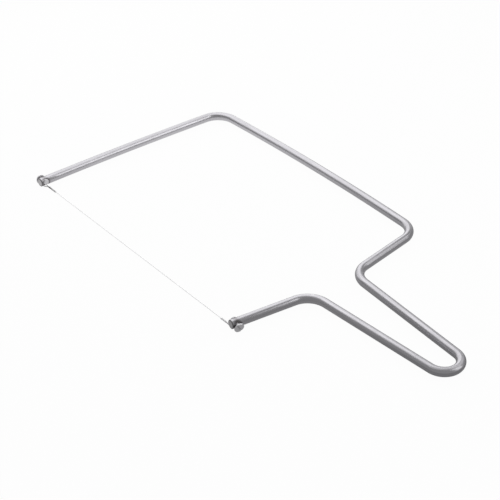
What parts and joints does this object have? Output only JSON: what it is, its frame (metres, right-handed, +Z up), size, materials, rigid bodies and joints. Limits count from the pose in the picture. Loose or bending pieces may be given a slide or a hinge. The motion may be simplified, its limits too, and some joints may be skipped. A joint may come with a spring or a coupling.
{
  "type": "wire cheese cutter",
  "caption": "Wire cheese cutter: a bent steel rod frame with a tapered loop handle holds a taut cutting wire between its two open ends, each end of the wire looped round a slotted clamp screw.",
  "frame": {"origin": "bottom centre of the bounding box, level with the lowest edges of the two screw heads", "axes": "+X along the wire towards the tip of the handle loop, +Y from the wire to the long side, +Z up through the flat frame"},
  "size_m": [0.33, 0.165, 0.0072],
  "materials": {
    "brushed_rod_steel": "satin, drawn along the rod, with fine scratches",
    "screw_steel": "turned, slightly brighter than the rod",
    "wire_steel": "bright drawn wire"
  },
  "bodies": {
    "frame": {"frame_rod": "brushed_rod_steel", "cutting_wire": "wire_steel"},
    "far_screw": {"far_clamp_screw": "screw_steel"},
    "near_screw": {"near_clamp_screw": "screw_steel"}
  },
  "joints": [
    {"name": "far_screw_turn", "type": "hinge", "parent": "frame", "child": "far_screw", "pos_m": [-0.15933, -0.079, 0.00422], "axis": [-0.9779, -0.0199, -0.2079], "range_deg": [0, 450]},
    {"name": "near_screw_turn", "type": "hinge", "parent": "frame", "child": "near_screw", "pos_m": [0.04879, -0.07462, 0.00422], "axis": [0.9699, -0.1267, -0.2079], "range_deg": [0, 450]}
  ]
}
